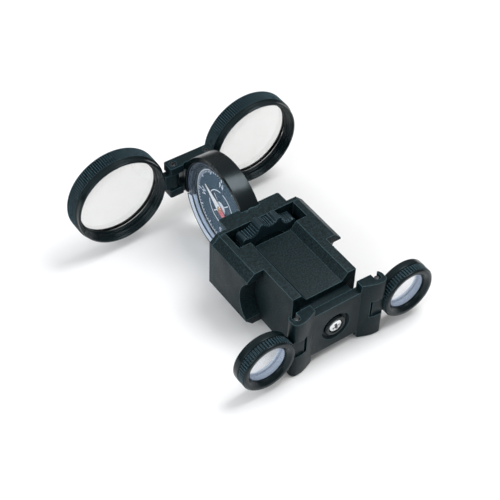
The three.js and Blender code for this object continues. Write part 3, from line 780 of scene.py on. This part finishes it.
def build_marks():
    """Seventy-two ticks, an outer circle, a broken inner circle and four strokes inside it."""
    bm = bmesh.new()
    for k in range(72):
        angle = math.radians(5 * k)
        length = 2.2 if k % 18 == 0 else 1.5 if k % 6 == 0 else 0.8
        flat_strip(bm, on_dial(15.3, angle), on_dial(15.3 - length, angle), 0.3 if k % 6 else 0.5)
    step = 2 * math.pi / 96
    for radius, width, broken in ((15.7, 0.3, False), (7.6, 0.4, True)):
        for k in range(96):
            if not (broken and k % 24 in (0, 1, 23)):
                flat_strip(bm, on_dial(radius, k * step), on_dial(radius, (k + 1) * step), width)
    for k in range(4):
        angle = math.pi / 2 * k + math.radians(45)
        flat_strip(bm, on_dial(3.2, angle), on_dial(6.4, angle), 0.4)
    return bm


piece("compass_dial_marks", build_marks(), MARKS, "case", "dial")


def dial_letter(text, angle_deg):
    """A raised letter at a compass point."""
    curve = bpy.data.curves.new("letter", "FONT")
    curve.body = text
    curve.size = 3.6
    curve.align_x = "CENTER"
    curve.align_y = "CENTER"
    curve.extrude = 0.05
    holder = bpy.data.objects.new("letter", curve)
    bpy.context.scene.collection.objects.link(holder)
    bpy.context.view_layer.update()
    mesh = bpy.data.meshes.new_from_object(holder.evaluated_get(bpy.context.evaluated_depsgraph_get()))
    bpy.data.objects.remove(holder)
    angle = math.radians(angle_deg)
    y, z = on_dial(11.2, angle)
    # Text lies in the dial plane, read from the -X side, its top pointing outward
    face = Matrix(((0, 0, -1, 0), (-1, 0, 0, 0), (0, 1, 0, 0), (0, 0, 0, 1)))
    turn = Matrix.Rotation(angle - math.pi / 2, 4, "X")
    mesh.transform(Matrix.Translation((-1.2, y, z)) @ turn @ face)
    mesh.transform(PLACE)
    show(f"compass_letter_{text}", mesh, MARKS, "case")


for text, angle in (("N", 90), ("W", 0), ("S", 270), ("E", 180)):
    dial_letter(text, angle)

# Needle: half red, half white, over a brass jewel
NEEDLE = math.radians(30)


def needle_half(sign, name, material, *nodes):
    """Half of the needle, from the hub to one tip."""
    def put(along, across):
        along *= sign
        return (DRUM.y + along * math.cos(NEEDLE) - across * math.sin(NEEDLE),
                DRUM.z + along * math.sin(NEEDLE) + across * math.cos(NEEDLE))

    outline = [put(0, 1.7), put(1.4, 1.7), put(11, 0.2), put(11, -0.2), put(1.4, -1.7), put(0, -1.7)]
    piece(name, prism(outline, -2.1, -1.9, 0.06, "YZ"), material, "needle", "needle", *nodes)


needle_half(1, "needle_white_half", WHITE, "compass_needle")
needle_half(-1, "needle_red_half", RED)
cap = softened([(0.6, -2.3), (0.9, -2.3), (1.15, -2.15), (1.15, -1.8), (0.6, -1.8)], 0.1, 3)
piece("needle_cap", drum_disc(cap, 48), BRASS, "needle", "needle")
jewel = softened([(0, -2.5), (0.4, -2.45), (0.45, -2.2), (0.45, 2.4), (0, 2.4)], 0.1, 3, closed=False)
piece("needle_jewel", drum_disc(jewel, 32, closed=False), BRASS, "case", "brass", "needle_pivot")
seat = softened([(1.0, -1.6), (2.6, -1.6), (2.9, -1.45), (2.9, -1.15), (1.0, -1.15)], 0.1, 3)
piece("dial_hub_ring", drum_disc(seat, 64), MARKS, "case", "dial")

# ---- stage ----------------------------------------------------------------------------

# The glass stands on the drum and the two wings of the eyepiece bridge, so the floor
# passes through those three places.
drum_foot = Vector((0, (PLACE @ DRUM).y, CAD_LOW.z))
wing_low, wing_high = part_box("eyepiece_bridge")
wing_foot = Vector((0, wing_low.y + 0.001, wing_low.z))
slope = (wing_foot.z - drum_foot.z) / (drum_foot.y - wing_foot.y)
FLOOR_REACH = 3.0               # metres, all of these
FLOOR_GAP = 0.0004
FLOOR_CREST = wing_foot.y - 0.035
FLOOR_EASE = 0.03


def floor_height(y):
    """The standing plane, easing to level in front of the wings."""
    past = max(0.0, min(FLOOR_CREST - y, FLOOR_EASE))
    rise = drum_foot.y - max(y, FLOOR_CREST) + past - past * past / (2 * FLOOR_EASE)
    return drum_foot.z - FLOOR_GAP + slope * rise


def build_floor():
    bm = bmesh.new()
    bend = [FLOOR_CREST - FLOOR_EASE * (1 - k / 12) for k in range(13)]
    edges = [[bm.verts.new((x, y, floor_height(y))) for x in (-FLOOR_REACH, FLOOR_REACH)]
             for y in (-FLOOR_REACH, *bend, FLOOR_REACH)]
    for near, far in zip(edges, edges[1:]):
        bm.faces.new((near[0], near[1], far[1], far[0]))
    mesh = bpy.data.meshes.new("floor")
    bm.to_mesh(mesh)
    bm.free()
    mesh.shade_smooth()
    floor = bpy.data.objects.new("floor", mesh)
    bpy.context.scene.collection.objects.link(floor)
    m = Nodes("pale_floor")
    m.link(m.colours(m.noise(60, 3), [(0.3, (0.86, 0.86, 0.86)), (0.7, (0.88, 0.88, 0.88))]),
           m.shader.inputs["Base Color"])
    m.set(Roughness=0.9, Specular_IOR_Level=0.0)
    mesh.materials.append(m.material)


build_floor()


def area_light(name, position_mm, target_mm, size_mm, power, colour=(1, 1, 1)):
    """A soft light in case millimetres that faces its target."""
    light = bpy.data.lights.new(name, "AREA")
    light.shape = "RECTANGLE"
    light.size, light.size_y = (s * 0.001 for s in size_mm)
    light.energy = power
    light.color = colour
    obj = bpy.data.objects.new(name, light)
    bpy.context.scene.collection.objects.link(obj)
    position = PLACE @ Vector(position_mm)
    obj.location = position
    obj.rotation_mode = "QUATERNION"
    obj.rotation_quaternion = (PLACE @ Vector(target_mm) - position).to_track_quat("-Z", "Y")


area_light("softbox_over", (190, -40, 500), (0, 0, 0), (260, 260), 1.9)
area_light("softbox_left", (-520, -120, 330), (0, 0, 0), (300, 360), 2.1, (0.93, 0.97, 1.0))
area_light("softbox_far", (-60, 560, 240), (0, 0, 0), (420, 180), 0.6)

# Pale surroundings, dimmer towards the horizon than overhead
world = bpy.data.worlds.new("studio")
world.use_nodes = True
sky = world.node_tree
direction = sky.nodes.new("ShaderNodeTexCoord")
height = sky.nodes.new("ShaderNodeSeparateXYZ")
grade = sky.nodes.new("ShaderNodeMapRange")
for key, value in (("From Min", 0.1), ("From Max", 0.75), ("To Min", 0.16), ("To Max", 0.66)):
    grade.inputs[key].default_value = value
sky.links.new(direction.outputs["Generated"], height.inputs["Vector"])
sky.links.new(height.outputs["Z"], grade.inputs["Value"])
sky.links.new(grade.outputs["Result"], sky.nodes["Background"].inputs["Strength"])
sky.nodes["Background"].inputs["Color"].default_value = (1, 1, 1, 1)
bpy.context.scene.world = world
bpy.context.scene.view_settings.view_transform = "Standard"

# ---- camera at the photo's angle ------------------------------------------------------

# Angles in degrees; lens, distance and aim in millimetres
CAMERA = {"azimuth": -36.39, "elevation": 46.0, "roll": 2.26, "lens": 90.75, "distance": 475.6,
          "aim": (3.82, 8.4, -14.73)}


def build_camera():
    """The photo's view: turned by azimuth and elevation, then rolled about the line of sight."""
    a, e, roll = (math.radians(CAMERA[key]) for key in ("azimuth", "elevation", "roll"))
    back = Vector((math.sin(a) * math.cos(e), -math.cos(a) * math.cos(e), math.sin(e)))
    right = Vector((math.cos(a), math.sin(a), 0))
    up = back.cross(right)
    tilted_right = math.cos(roll) * right + math.sin(roll) * up
    tilted_up = -math.sin(roll) * right + math.cos(roll) * up
    data = bpy.data.cameras.new("photo_camera")
    data.sensor_width = 36
    data.lens = CAMERA["lens"]
    data.clip_start = 0.01
    data.clip_end = 20
    camera = bpy.data.objects.new("photo_camera", data)
    bpy.context.scene.collection.objects.link(camera)
    turn = Matrix((tilted_right, tilted_up, back)).transposed().to_4x4()
    place = PLACE @ (Vector(CAMERA["aim"]) + back * CAMERA["distance"])
    camera.matrix_world = Matrix.Translation(place) @ turn
    bpy.context.scene.camera = camera


build_camera()
